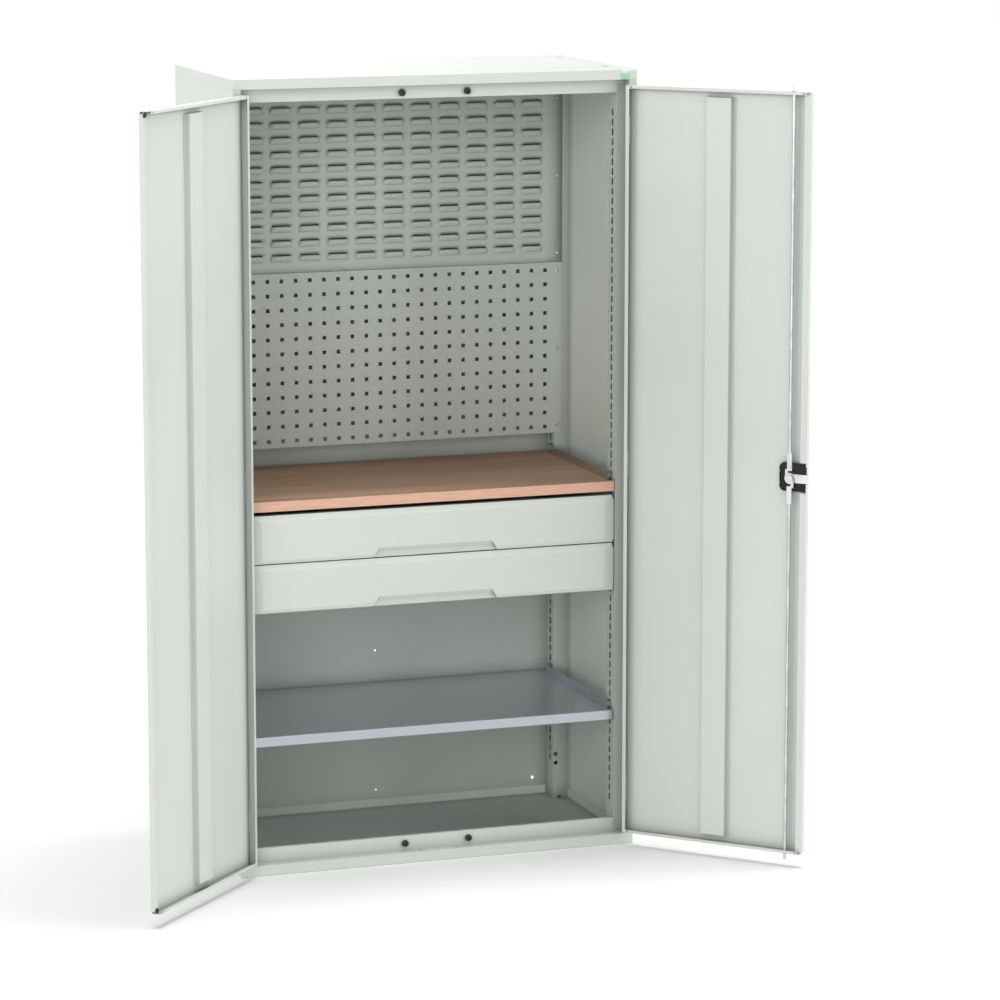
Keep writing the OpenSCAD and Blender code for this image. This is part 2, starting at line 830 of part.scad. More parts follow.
module key_cylinder() {
    color(zinc) at_lock() translate([0, 0, key_z]) difference() {
        rod_y(key_r, -plate_t - 3, skin + 6);
        box([-0.8, -plate_t - 4, -4], [0.8, -plate_t + 2, 4]);
    }
}

module lock_spindle() {
    color(zinc) at_lock() rod_y(spindle_r, -plate_t - hub_t + 4, rotor_t0 + rotor_t / 2);
}

module lock_lever() {
    top = -plate_t - 0.3;
    color(black) at_lock() difference() {
        union() {
            rod_y(hub_r, top - hub_t, top);
            box([-lever_w / 2, top - hub_t, -lever_l], [lever_w / 2, top - hub_t + lever_t, 0]);
            translate([0, 0, -lever_l]) rod_y(lever_w / 2, top - hub_t, top - hub_t + lever_t);
        }
        rod_y(spindle_r, -plate_t - hub_t + 4, over);
    }
}

module lock_disc() {
    color(zinc) at_lock() difference() {
        union() {
            rod_y(disc_r, disc_t0, disc_top);
            rod_y(rotor_r, rotor_t0, rotor_t0 + rotor_t);
            for (side = [-1, 1])
                translate([side * rod_stroke / 2, 0, -side * rod_stroke / 2]) rod_y(crank_pin_r, disc_t0, rotor_t0 + rotor_t);
        }
        rod_y(spindle_r, 0, rotor_t0 + rotor_t + over);
    }
}

module lock_tongue() {
    color(zinc) at_lock() difference() {
        along_y(tongue_t0, tongue_t0 + tongue_t) polygon([
            [-9, -9], [9, -tongue_h / 2], [tongue_l - 4, -tongue_h / 2], [tongue_l, -tongue_h / 2 + 4],
            [tongue_l, tongue_h / 2 - 4], [tongue_l - 4, tongue_h / 2], [9, tongue_h / 2], [-9, 9]]);
        rod_y(spindle_r, 0, disc_top);
    }
}

// A flat rod end with an arm beside the spindle; a crank pin rides in the arm's slot
module rod_arm(t0) {
    level = rod_stroke / 2;
    near = spindle_r + 0.3;
    far = crank + crank_pin_r + 2.2;
    difference() {
        union() {
            box([-stem_w / 2, t0, stem_from], [stem_w / 2, t0 + arm_t, flat_end]);
            box([near, t0, level - 4.4], [far, t0 + arm_t, stem_from + 4]);
        }
        box([near - over, t0 - over, level - crank_pin_r - crank_clear],
            [crank + crank_pin_r + 0.5, t0 + arm_t + over, level + crank_pin_r + crank_clear]);
    }
}

module round_rod(tip) {
    translate([0, rod_t, flat_end - 2]) cylinder(r = rod_r, h = tip - flat_end + 2);
}

module upper_rod() {
    color(zinc) at_lock() union() {
        mirror([1, 0, 0]) rod_arm(upper_arm_t0);
        round_rod(door_top + rod_out_top - lock_z);
    }
}

module lower_rod() {
    color(zinc) at_lock() mirror([0, 0, 1]) union() {
        rod_arm(lower_arm_t0);
        round_rod(lock_z - door_low + rod_out_low);
    }
}

module rod_guides() {
    color(black) right_door() for (end = [[door_low, -1], [door_top, 1]])
        translate([rod_u, rod_t, end[0]]) mirror([0, 0, end[1] < 0 ? 1 : 0]) difference() {
            union() {
                translate([0, 0, -skin - 2]) cylinder(r = guide_r, h = skin + 3);
                cylinder(r = guide_flange_r, h = 1);
            }
            translate([0, 0, -10]) cylinder(r = rod_r + fit, h = 20);
        }
}

// Drawers
module front_form(gap) {
    x = front_x - gap;
    low = gap;
    high = front_h - gap;
    back = front_d + (gap > 0 ? over : 0);
    translate([0, gap, 0]) intersection() {
        along_x(-x, x) polygon([[border_in, low], [0, border_bottom], [0, front_h - border_top],
            [border_in, high], [back, high], [back, low]]);
        linear_extrude(front_h) polygon([[-x, border_in], [-x + border_end, 0], [x - border_end, 0],
            [x, border_in], [x, back], [-x, back]]);
        along_y(-over, back + over) polygon([[-x + 4, low], [x - 4, low], [x, low + border_bottom],
            [x, high - border_top], [x - 6, high], [-x + 6, high], [-x, high - border_top],
            [-x, low + border_bottom]]);
    }
}

module grip_form(gap) {
    deep = 10;
    intersection() {
        along_x(-grip_w, grip_w) polygon([[-over, -over], [-over, grip_h + gap], [gap, grip_h + gap],
            [deep + 1.3 * gap, grip_h / 2 + gap / 2], [deep / 2 + gap, -over]]);
        along_y(-2 * over, 2 * deep) polygon([
            [-grip_w / 2 - 15 - gap, -over], [grip_w / 2 + 15 + gap, -over],
            [grip_w / 2 + gap, grip_h + gap], [-grip_w / 2 - gap, grip_h + gap]]);
    }
}

module drawer_front(low) {
    color(paint) translate([0, frame_y - 1, low]) difference() {
        union() {
            difference() {
                front_form(0);
                front_form(drawer_sheet);
            }
            intersection() {
                front_form(0);
                grip_form(drawer_sheet);
            }
            // turned edge that the tray is screwed to
            intersection() {
                front_form(0);
                difference() {
                    box([-front_x, front_d - drawer_sheet, 0], [front_x, front_d, front_h]);
                    box([-tray_x + 20, 0, tray_in + 12], [tray_x - 20, front_d + over, tray_in + tray_h - 12]);
                }
            }
        }
        grip_form(0);
    }
}

module drawer_tray(low) {
    base = low + tray_in;
    color(paint_inside) difference() {
        box([-tray_x, tray_y, base], [tray_x, tray_y + tray_d, base + tray_h]);
        box([-tray_x + drawer_sheet, tray_y + drawer_sheet, base + drawer_sheet],
            [tray_x - drawer_sheet, tray_y + tray_d - drawer_sheet, base + tray_h + over]);
    }
}

// One channel of a runner: its web at x1, its flanges reaching to x0
module channel(x0, x1, web_low, high) {
    x = web_low ? x0 : x1 - sheet;
    box([x, 0, -high], [x + sheet, runner_l, high]);
    box([x0, 0, high - sheet], [x1, runner_l, high]);
    box([x0, 0, -high], [x1, runner_l, -high + sheet]);
}

module runner_place(low) {
    both_sides() translate([0, runner_y, low + tray_in + runner_in]) children();
}

module outer_runners(low) {
    color(zinc) runner_place(low) channel(web_x - runner_reach, web_x, false, runner_h / 2);
}

module middle_runners(low) {
    x1 = web_x - sheet - runner_gap;
    color(zinc) runner_place(low) channel(x1 - runner_reach, x1, false, runner_h / 2 - sheet - runner_gap);
}

module inner_runners(low) {
    x1 = web_x - 2 * (sheet + runner_gap);
    color(zinc) runner_place(low) channel(tray_x, x1, true, runner_h / 2 - 2 * (sheet + runner_gap));
}

plinth();
floor_panel();
color(paint) left_copy() side_wall();  // side_wall_left
color(paint) side_wall();  // side_wall_right
back_wall();
top_cap();
top_rail();
bottom_lip();
color(paint_inside) left_copy() front_upright();  // front_upright_left
color(paint_inside) front_upright();  // front_upright_right
color(paint_inside) left_copy() rear_upright();  // rear_upright_left
color(paint_inside) rear_upright();  // rear_upright_right
louvre_panel();
perforated_panel();
panel_screws();
worktop();
color(zinc) both_sides() hanger(worktop_z, worktop_t);  // worktop_hangers
shelf();
color(zinc) both_sides() hanger(shelf_z, shelf_t);  // shelf_hangers
frame_buffers();
badge_plate();
levelling_feet();
levelling_nuts();
top_plugs();
color(paint) both_sides() frame_leaf();  // hinge_frame_leaves
hinge_pins();
outer_runners(upper_z);  // upper_outer_runners
outer_runners(lower_z);  // lower_outer_runners
left_door_panel();
left_door() rib();  // left_door_rib
color(paint) left_door() door_leaves();  // left_door_hinge_leaves
left_door_buffers();
right_door_panel();
right_door() rib();  // right_door_rib
color(paint) right_door() door_leaves();  // right_door_hinge_leaves
lock_housing();
escutcheon();
rod_guides();
lock_lever();
lock_spindle();
lock_disc();
lock_tongue();
key_cylinder();
upper_rod();
lower_rod();
drawer_front(upper_z);  // upper_drawer_front
drawer_tray(upper_z);  // upper_drawer_tray
inner_runners(upper_z);  // upper_inner_runners
middle_runners(upper_z);  // upper_middle_runners
drawer_front(lower_z);  // lower_drawer_front
drawer_tray(lower_z);  // lower_drawer_tray
inner_runners(lower_z);  // lower_inner_runners
middle_runners(lower_z);  // lower_middle_runners
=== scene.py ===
# %% [markdown]
# # A tool cabinet with doors
# The real cabinet is folded from sheet steel: a carcass with slotted uprights, two
# doors, a louvred and a perforated back panel, a wooden worktop, two drawers and a
# zinc shelf. The CAD model brings every solid in its true place and size. This file
# adds what CAD leaves out: finishes, rounded pressings, light and a camera.

# %% The frame
import json
import math

import bmesh
import bpy
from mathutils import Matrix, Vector


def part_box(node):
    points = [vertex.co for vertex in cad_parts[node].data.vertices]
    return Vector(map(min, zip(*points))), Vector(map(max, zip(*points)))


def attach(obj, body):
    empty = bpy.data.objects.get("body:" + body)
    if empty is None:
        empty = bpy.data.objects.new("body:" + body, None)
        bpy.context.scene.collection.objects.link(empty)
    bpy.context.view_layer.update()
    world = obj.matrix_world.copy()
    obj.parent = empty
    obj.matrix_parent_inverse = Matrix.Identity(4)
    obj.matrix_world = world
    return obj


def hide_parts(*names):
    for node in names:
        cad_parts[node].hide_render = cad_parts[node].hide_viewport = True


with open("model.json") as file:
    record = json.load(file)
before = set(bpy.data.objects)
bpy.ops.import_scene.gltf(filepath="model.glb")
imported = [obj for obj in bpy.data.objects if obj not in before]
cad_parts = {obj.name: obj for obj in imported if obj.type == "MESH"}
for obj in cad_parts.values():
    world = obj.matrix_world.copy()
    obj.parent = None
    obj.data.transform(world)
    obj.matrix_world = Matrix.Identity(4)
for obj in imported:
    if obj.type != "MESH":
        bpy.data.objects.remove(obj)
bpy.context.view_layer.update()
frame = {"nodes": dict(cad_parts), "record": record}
nodes = frame["nodes"]
scene = bpy.context.scene

# %% [markdown]
# ## Camera
# The photograph looks at the cabinet from the viewer's left and from above the height
# of its top, from about ten metres, through a long lens. It keeps the uprights exactly
# parallel, as a shifted lens does. A long lens alone keeps them nearly so, and it is
# left unshifted here, so that the views from other sides stay centred.

# %% Camera
MM = 0.001
CAMERA_PLACE = Vector((-3.1713, -9.8790, 2.7690))
CAMERA_YAW, CAMERA_PITCH = math.radians(19.136), math.radians(-10.283)
FOCAL_LENGTH_PX, PICTURE_WIDTH_PX, SENSOR_WIDTH_MM = 4092.9, 1000.0, 36.0
FARTHEST_SEEN = 100.0

camera_data = bpy.data.cameras.new("camera")
camera_data.sensor_width = SENSOR_WIDTH_MM
camera_data.lens = FOCAL_LENGTH_PX * SENSOR_WIDTH_MM / PICTURE_WIDTH_PX
camera_data.clip_end = FARTHEST_SEEN
camera = bpy.data.objects.new("camera", camera_data)
camera.location = CAMERA_PLACE
camera.rotation_euler = (math.pi / 2 + CAMERA_PITCH, 0, -CAMERA_YAW)
scene.collection.objects.link(camera)
scene.camera = camera
print("camera lens:", round(camera_data.lens, 1), "mm")

# %% [markdown]
# ## Nodes by hand
# A shader is a small graph. These helpers add one node each and set its inputs. Most
# return the socket that comes out of it, so that each material below reads as a short
# recipe.


# %% Node helpers
def set_inputs(tree, node, inputs):
    """Links a socket, or writes a plain value, into each input."""
    for key, value in dict(inputs).items():
        if isinstance(value, bpy.types.NodeSocket):
            tree.links.new(value, node.inputs[key])
        else:
            node.inputs[key].default_value = value


def add_node(tree, kind, inputs=(), **settings):
    node = tree.nodes.new(kind)
    for key, value in settings.items():
        setattr(node, key, value)
    set_inputs(tree, node, inputs)
    return node


def emptied_tree(owner):
    owner.use_nodes = True
    owner.node_tree.nodes.clear()
    return owner.node_tree


def new_material(name):
    """A material with a bare Principled shader, and the socket of Object coordinates."""
    material = bpy.data.materials.new(name)
    tree = emptied_tree(material)
    shader = add_node(tree, "ShaderNodeBsdfPrincipled")
    add_node(tree, "ShaderNodeOutputMaterial", {"Surface": shader.outputs["BSDF"]})
    return material, tree, shader, add_node(tree, "ShaderNodeTexCoord").outputs["Object"]


def maths(tree, operation, *values):
    """A Math node with a number or a socket for each of its inputs."""
    return add_node(tree, "ShaderNodeMath", enumerate(values), operation=operation).outputs[0]


def remap(tree, value, from_low, from_high, low, high):
    """Stretches the range from_low to from_high into the range low to high."""
    limits = {"From Min": from_low, "From Max": from_high, "To Min": low, "To Max": high}
    return add_node(tree, "ShaderNodeMapRange", {"Value": value, **limits}).outputs["Result"]


print("node helpers ready")

# %% [markdown]
# ## Patterns and colours
# A noise stays mostly between 0.3 and 0.7, so those are the limits that get stretched.
# A Mix node keeps a socket for each kind of data, and its colours are the numbers named
# here. Ambient occlusion measures how open a point is: less than one where other faces
# are near.

# %% Pattern and colour helpers
NOISE_LOW, NOISE_HIGH = 0.3, 0.7
RAMP_DARK_AT, RAMP_LIGHT_AT = 0.35, 0.65
MIX_COLOUR_A, MIX_COLOUR_B, MIX_COLOUR_OUT = 6, 7, 2
OPENNESS_SAMPLES = 8


def noise(tree, place, scale, detail=2.0, roughness=0.5):
    return add_node(tree, "ShaderNodeTexNoise", {
        "Vector": place, "Scale": scale, "Detail": detail, "Roughness": roughness}).outputs["Fac"]


def spread(tree, factor, low, high):
    return remap(tree, factor, NOISE_LOW, NOISE_HIGH, low, high)


def stretched(tree, place, scale):
    return add_node(tree, "ShaderNodeMapping", {"Vector": place, "Scale": scale}).outputs["Vector"]


def bump(tree, height, distance, strength=1.0, under=None):
    inputs = {"Height": height, "Distance": distance, "Strength": strength}
    if under is not None:
        inputs["Normal"] = under
    return add_node(tree, "ShaderNodeBump", inputs).outputs["Normal"]


def tinted(colour, factor):
    return [min(1.0, part * factor) for part in colour]


def blend_colours(tree, factor, dark, light):
    ramp = add_node(tree, "ShaderNodeValToRGB", {"Fac": factor})
    ends = ((RAMP_DARK_AT, dark), (RAMP_LIGHT_AT, light))
    for element, (position, colour) in zip(ramp.color_ramp.elements, ends):
        element.position = position
        element.color = (*colour, 1)
    return ramp.outputs["Color"]


def mixed(tree, factor, first, second, blend_type="MIX"):
    inputs = {"Factor": factor, MIX_COLOUR_A: first, MIX_COLOUR_B: second}
    node = add_node(tree, "ShaderNodeMix", inputs, data_type="RGBA", blend_type=blend_type)
    return node.outputs[MIX_COLOUR_OUT]


def multiplied(tree, colour, value):
    return mixed(tree, 1.0, colour, value, "MULTIPLY")


def openness(tree, reach):
    return add_node(tree, "ShaderNodeAmbientOcclusion", {"Distance": reach},
                    samples=OPENNESS_SAMPLES).outputs["AO"]


def facing(tree, axis):
    """1 where a face looks forwards or backwards along the axis, 0 where it lies along it."""
    surface = add_node(tree, "ShaderNodeNewGeometry")
    parts = add_node(tree, "ShaderNodeSeparateXYZ", {"Vector": surface.outputs["Normal"]})
    return maths(tree, "ABSOLUTE", parts.outputs[axis])


def height_of(tree, place):
    return add_node(tree, "ShaderNodeSeparateXYZ", {"Vector": place}).outputs["Z"]


print("pattern and colour helpers ready")

# %% [markdown]
# ## Powder coat
# The steel is powder coated in a light, slightly green grey. Under a lens such paint
# isn't flat: it flows into a fine orange peel about 2 mm across, and its tone drifts
# by a few percent. Shade is painted into folds and corners, from how open each point is.
# One recipe serves the whole cabinet; inside, a darker tone paints the shade there.
# On the plinth only faces a few millimetres away count, or the floor would darken it.

# %% Powder coat
GREY_GREEN, PAINTED_SHADE_GREY_GREEN = (0.70, 0.735, 0.69), (0.56, 0.60, 0.555)
DRIFT_SCALE, PEEL_SCALE, GRIT_SCALE = 2.2, 420.0, 1700.0
PEEL_DEPTH, GRIT_DEPTH = 0.00006, 0.00001
PAINT_SHEEN, INSIDE_SHEEN = 0.42, 0.48
PAINTED_SHADE_REACH, PLINTH_PAINTED_SHADE_REACH = 0.045, 0.004
PAINTED_SHADE_TONE, OPEN_FROM = 0.30, 0.95


def powder_coat(name, colour, sheen=PAINT_SHEEN, shade_reach=PAINTED_SHADE_REACH):
    material, tree, shader, place = new_material(name)
    drift = noise(tree, place, DRIFT_SCALE, 3.0)
    tone = blend_colours(tree, drift, tinted(colour, 0.975), tinted(colour, 1.015))
    # Painted shade: the colour darkens in folds and corners, where other faces are near.
    painted_fold_shade = remap(tree, openness(tree, shade_reach), 0.0, OPEN_FROM, PAINTED_SHADE_TONE, 1.0)
    peel = noise(tree, place, PEEL_SCALE, 2.0, 0.45)
    grit = noise(tree, place, GRIT_SCALE, 1.0)
    peeled = bump(tree, peel, PEEL_DEPTH, 0.6)
    set_inputs(tree, shader, {
        "Base Color": multiplied(tree, tone, painted_fold_shade),
        "Roughness": spread(tree, peel, sheen - 0.04, sheen + 0.06),
        "Normal": bump(tree, grit, GRIT_DEPTH, 0.4, peeled)})
    return material


paint_body = powder_coat("powder_coat_body", GREY_GREEN)
# The inside tone is the same paint made darker: painted shade for the cabinet's interior.
paint_inside = powder_coat("powder_coat_inside_painted_shade", PAINTED_SHADE_GREY_GREEN, INSIDE_SHEEN)
paint_door = powder_coat("powder_coat_door", GREY_GREEN)
paint_plinth = powder_coat("powder_coat_plinth", GREY_GREEN, PAINT_SHEEN, PLINTH_PAINTED_SHADE_REACH)
print("powder coats:", paint_body.name, paint_inside.name, paint_door.name, paint_plinth.name)

# %% [markdown]
# ## Zinc and steel
# The shelf is galvanised. Zinc freezes in flat crystals, which Voronoi cells copy:
# each cell gets its own tone and gloss. Faces looking forwards, such as the turned front
# edge, are darkened as painted shade, and the hangers under the worktop are brighter.
# Hinges, rods and screws are plated and brushed, so their noise is stretched along one direction.

# %% Zinc
CRYSTAL_SCALE, CLOUD_SCALE, CRYSTAL_LIFT = 75.0, 24.0, 0.22
PAINTED_FRONT_SHADE_TONE, FRONTAL_FROM = 0.66, 0.5
SHEET_GLOSS, HANGER_GLOSS = 0.29, 0.12


def galvanised(name, dark, light, gloss):
    material, tree, shader, place = new_material(name)
    voronoi = add_node(tree, "ShaderNodeTexVoronoi", {"Vector": place, "Scale": CRYSTAL_SCALE})
    crystals = voronoi.outputs["Color"]
    cloud = noise(tree, place, CLOUD_SCALE, 4.0)
    tone = blend_colours(tree, maths(tree, "MULTIPLY_ADD", crystals, cloud, CRYSTAL_LIFT), dark, light)
    # Painted shade: faces that look forwards or backwards are made darker.
    painted_front_shade = remap(tree, facing(tree, "Y"), FRONTAL_FROM, 1.0, 1.0, PAINTED_FRONT_SHADE_TONE)
    set_inputs(tree, shader, {
        "Base Color": multiplied(tree, tone, painted_front_shade),
        "Roughness": spread(tree, crystals, gloss, gloss + 0.03),
        "Normal": bump(tree, cloud, 0.00002, 0.05),
        "Metallic": 1.0})
    return material


zinc = galvanised("galvanised_sheet", (0.645, 0.665, 0.715), (0.66, 0.68, 0.73), SHEET_GLOSS)
zinc_bright = galvanised("galvanised_hangers", (0.60, 0.62, 0.66), (0.63, 0.65, 0.69), HANGER_GLOSS)
print("zinc:", zinc.name, zinc_bright.name)

# %% Plated steel
BRUSH_SCALE, BRUSH_STRETCH = 900.0, (1.0, 1.0, 0.06)


def plated(name, colour, gloss):
    material, tree, shader, place = new_material(name)
    lines = noise(tree, stretched(tree, place, BRUSH_STRETCH), BRUSH_SCALE, 3.0, 0.6)
    cloud = noise(tree, place, 30.0, 3.0)
    set_inputs(tree, shader, {
        "Base Color": blend_colours(tree, cloud, tinted(colour, 0.86), tinted(colour, 1.05)),
        "Roughness": spread(tree, lines, gloss - 0.06, gloss + 0.1),
        "Normal": bump(tree, lines, 0.00003, 0.5),
        "Metallic": 0.8})
    return material


steel = plated("plated_steel", (0.62, 0.62, 0.65), 0.3)
print("steel:", steel.name)

# %% [markdown]
# ## Beech multiplex
# The worktop is glued from thin beech veneers. From above it shows long, fine fibres
# and soft cathedral figure; its front edge shows the veneers themselves as thin
# stripes, light and dark in turn. The way a face looks tells the top from the edge,
# and the height, Z, lays the veneers.

# %% Beech
ALONG_FIBRES, ALONG_PORES = (0.05, 1.0, 1.0), (0.12, 1.0, 1.0)
FIGURE_SCALE, FIBRE_SCALE, PORE_SCALE = 26.0, 420.0, 620.0
BOARD_DARK, BOARD_LIGHT, BOARD_EDGE = (0.43, 0.245, 0.155), (0.58, 0.355, 0.230), (0.80, 0.48, 0.35, 1)
VENEER_PAIR = 0.0037

beech, tree, shader, place = new_material("beech_multiplex")
fibre_place = stretched(tree, place, ALONG_FIBRES)
figure = noise(tree, fibre_place, FIGURE_SCALE, 5.0, 0.6)
fibres = noise(tree, fibre_place, FIBRE_SCALE, 4.0, 0.65)
pores = add_node(tree, "ShaderNodeTexVoronoi", {
    "Vector": stretched(tree, place, ALONG_PORES), "Scale": PORE_SCALE}).outputs["Distance"]
dots = remap(tree, pores, 0.0, 0.25, 0.84, 1.0)
grain = maths(tree, "MULTIPLY", spread(tree, fibres, 0.86, 1.08), dots)
veneers = maths(tree, "SINE", maths(tree, "MULTIPLY", height_of(tree, place), 2 * math.pi / VENEER_PAIR))
tone = maths(tree, "MULTIPLY", grain, remap(tree, veneers, -1, 1, 0.93, 1.04))
board = blend_colours(tree, figure, BOARD_DARK, BOARD_LIGHT)
edge_or_board = mixed(tree, facing(tree, "Z"), BOARD_EDGE, board)
set_inputs(tree, shader, {
    "Base Color": multiplied(tree, edge_or_board, tone),
    "Roughness": spread(tree, fibres, 0.42, 0.58),
    "Normal": bump(tree, grain, 0.00012, 0.5)})
print("wood:", beech.name)

# %% [markdown]
# ## Plastics and the plate
# The lock's housing is glass-filled black plastic, the buffers are rubber, and the
# small plate on the cap is smooth and green, with a painted reflection that pales it
# towards its top. Where other faces are near the gloss is turned down, which paints
# shade into the grooves between ribs.

# %% Plastics
GROOVE_REACH = 0.006
PAINTED_GROOVE_SHADE_GLOSS, OPEN_GLOSS = 0.02, 0.6


def moulded(name, colour, roughness, grain_scale, grain_depth):
    material, tree, shader, place = new_material(name)
    cloud = noise(tree, place, 40.0, 3.0)
    grain = noise(tree, place, grain_scale, 2.0)
    # Painted shade: the reflection is turned down in grooves, where other faces are near.
    gloss_with_painted_groove_shade = remap(tree, openness(tree, GROOVE_REACH), 0.25, 0.9, PAINTED_GROOVE_SHADE_GLOSS, OPEN_GLOSS)
    set_inputs(tree, shader, {
        "Base Color": blend_colours(tree, cloud, tinted(colour, 0.85), tinted(colour, 1.15)),
        "Roughness": spread(tree, grain, roughness - 0.05, roughness + 0.05),
        "Normal": bump(tree, grain, grain_depth, 0.6),
        "Specular IOR Level": gloss_with_painted_groove_shade})
    return material


black_plastic = moulded("black_glass_filled_plastic", (0.016, 0.016, 0.018), 0.42, 900.0, 0.00008)
rubber = moulded("rubber", (0.013, 0.013, 0.013), 0.7, 1400.0, 0.00005)
green_plate = moulded("green_plate", (0.33, 0.66, 0.42), 0.28, 300.0, 0.00001)
print("plastics:", black_plastic.name, rubber.name, green_plate.name)

# %% The plate's painted reflection
PLATE_REFLECTION_FROM, PLATE_REFLECTION_TO = 1.986, 1.998
PAINTED_REFLECTION_PALE = (0.84, 0.92, 0.86, 1)

tree = green_plate.node_tree
shader = tree.nodes["Principled BSDF"]
green = shader.inputs["Base Color"].links[0].from_socket
height = height_of(tree, add_node(tree, "ShaderNodeTexCoord").outputs["Object"])
# Painted reflection: the green pales towards the plate's top edge.
painted_reflection_fade = remap(tree, height, PLATE_REFLECTION_FROM, PLATE_REFLECTION_TO, 0.0, 1.0)
set_inputs(tree, shader, {"Base Color": mixed(tree, painted_reflection_fade, green, PAINTED_REFLECTION_PALE)})
print("the plate pales from", PLATE_REFLECTION_FROM, "to", PLATE_REFLECTION_TO)

# %% [markdown]
# ## Finishes onto the CAD nodes
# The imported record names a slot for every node. A table from slot to finish is all
# that is needed; the plinth and the worktop's hangers then get finishes of their own.

# %% Finishes
FINISH = {
    "paint_body": paint_body, "paint_inside": paint_inside, "paint_door": paint_door,
    "zinc": zinc, "steel": steel, "beech": beech,
    "black_plastic": black_plastic, "rubber": rubber, "green_plate": green_plate,
}
OWN_FINISH = {"plinth": paint_plinth, "worktop_hangers": zinc_bright}
slot_of = {row["node"]: row["material_slot"] for row in frame["record"]["subparts"]}
for name, thing in nodes.items():
    for slot in thing.material_slots:
        slot.material = OWN_FINISH.get(name, FINISH[slot_of[name]])
print("nodes with a finish:", len(slot_of))

# %% [markdown]
# ## Floor and backdrop
# The photograph has a white ground with a soft grey shadow. The floor is paler where
# it is seen, straight or in a gloss, than as something that bounces light, so it looks
# white without lighting the object more. The world works the same way: white where it
# is seen, and nearly black as a light.

# %% Floor and world
WHITE = (1, 1, 1, 1)
DOME_LIGHT, BACKDROP_LIGHT = 0.06, 1.0
FLOOR_SIZE = 60.0
FLOOR_AS_BOUNCE, FLOOR_AS_SEEN = (0.60, 0.60, 0.60, 1), (0.98, 0.98, 0.98, 1)
SEEING_RAYS = ("Is Camera Ray", "Is Glossy Ray")


def split_by_ray(tree, kinds, unseen, seen, output):
    """Puts out the second shader for rays of the named kinds, and the first for others."""
    ray = add_node(tree, "ShaderNodeLightPath")
    chosen = ray.outputs[kinds[0]]
    for kind in kinds[1:]:
        chosen = maths(tree, "MAXIMUM", chosen, ray.outputs[kind])
    either = add_node(tree, "ShaderNodeMixShader", {0: chosen, 1: unseen.outputs[0], 2: seen.outputs[0]})
    add_node(tree, output, {"Surface": either.outputs[0]})


world = bpy.data.worlds.new("world")
scene.world = world
tree = emptied_tree(world)
dome = add_node(tree, "ShaderNodeBackground", {"Color": WHITE, "Strength": DOME_LIGHT})
backdrop = add_node(tree, "ShaderNodeBackground", {"Color": WHITE, "Strength": BACKDROP_LIGHT})
split_by_ray(tree, (*SEEING_RAYS, "Is Transmission Ray"), dome, backdrop, "ShaderNodeOutputWorld")

half = FLOOR_SIZE / 2
floor_mesh = bpy.data.meshes.new("floor")
floor_mesh.from_pydata([(-half, -half, 0), (half, -half, 0), (half, half, 0), (-half, half, 0)],
                       [], [(0, 1, 2, 3)])
floor = bpy.data.objects.new("floor", floor_mesh)
scene.collection.objects.link(floor)
floor_material = bpy.data.materials.new("floor")
tree = emptied_tree(floor_material)
matte = add_node(tree, "ShaderNodeBsdfDiffuse", {"Color": FLOOR_AS_BOUNCE})
pale = add_node(tree, "ShaderNodeBsdfDiffuse", {"Color": FLOOR_AS_SEEN})
split_by_ray(tree, SEEING_RAYS, matte, pale, "ShaderNodeOutputMaterial")
floor_mesh.materials.append(floor_material)
print("floor and world ready")

# %% [markdown]
# ## Lamps
# Broad suns stand in for the soft boxes of a studio: one overhead, one high on the
# right, and a ring of five near the floor. Each has a turn about the cabinet from its
# front, a height, both in degrees, and a strength.

# %% Lamps
SOFTNESS = math.radians(35)
SUNS = {
    "overhead": (0, 90, 1.9),
    "left": (-84, 10, 1.3),
    "front_left": (-34, 10, 1.15),
    "front_right": (52, 10, 1.5),
    "right": (90, 10, 0.7),
    "right_high": (90, 60, 0.6),
    "back": (180, 10, 0.5),
}


def towards(turn, height):
    """The direction from the cabinet to a lamp, as a vector of length 1."""
    level = math.cos(height)
    return Vector((math.sin(turn) * level, -math.cos(turn) * level, math.sin(height)))


for name, (turn, height, strength) in SUNS.items():
    lamp = bpy.data.lights.new(name, "SUN")
    lamp.energy = strength
    lamp.angle = SOFTNESS
    thing = bpy.data.objects.new(name, lamp)
    shines_from = towards(math.radians(turn), math.radians(height))
    thing.rotation_euler = (-shines_from).to_track_quat("-Z", "Y").to_euler()
    scene.collection.objects.link(thing)
scene.view_settings.view_transform = "Standard"
print("lamps:", ", ".join(SUNS))

# %% [markdown]
# ## Mesh helpers
# Pieces that CAD keeps plain are rebuilt here as finer meshes. Each is built from
# points in the cabinet's own frame, so it needs no placing. Most of them are walls: the
# same number of points in ring after ring, and a face from each point to the next.

# %% Mesh helpers
SAME_POINT = 1e-6


def piece(name, vertices, faces, material, body):
    """One object from points and faces. Where a body is named, it rides on that body."""
    mesh = bpy.data.meshes.new(name)
    mesh.from_pydata([Vector(v) for v in vertices], [], faces)
    mesh.materials.append(material)
    work = bmesh.new()
    work.from_mesh(mesh)
    bmesh.ops.remove_doubles(work, verts=work.verts, dist=SAME_POINT)
    bmesh.ops.recalc_face_normals(work, faces=work.faces)
    work.to_mesh(mesh)
    work.free()
    thing = bpy.data.objects.new(name, mesh)
    scene.collection.objects.link(thing)
    if body:
        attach(thing, body)
    return thing


def shade_smooth(thing, degrees=35):
    thing.data.shade_smooth()
    thing.data.set_sharp_from_angle(angle=math.radians(degrees))


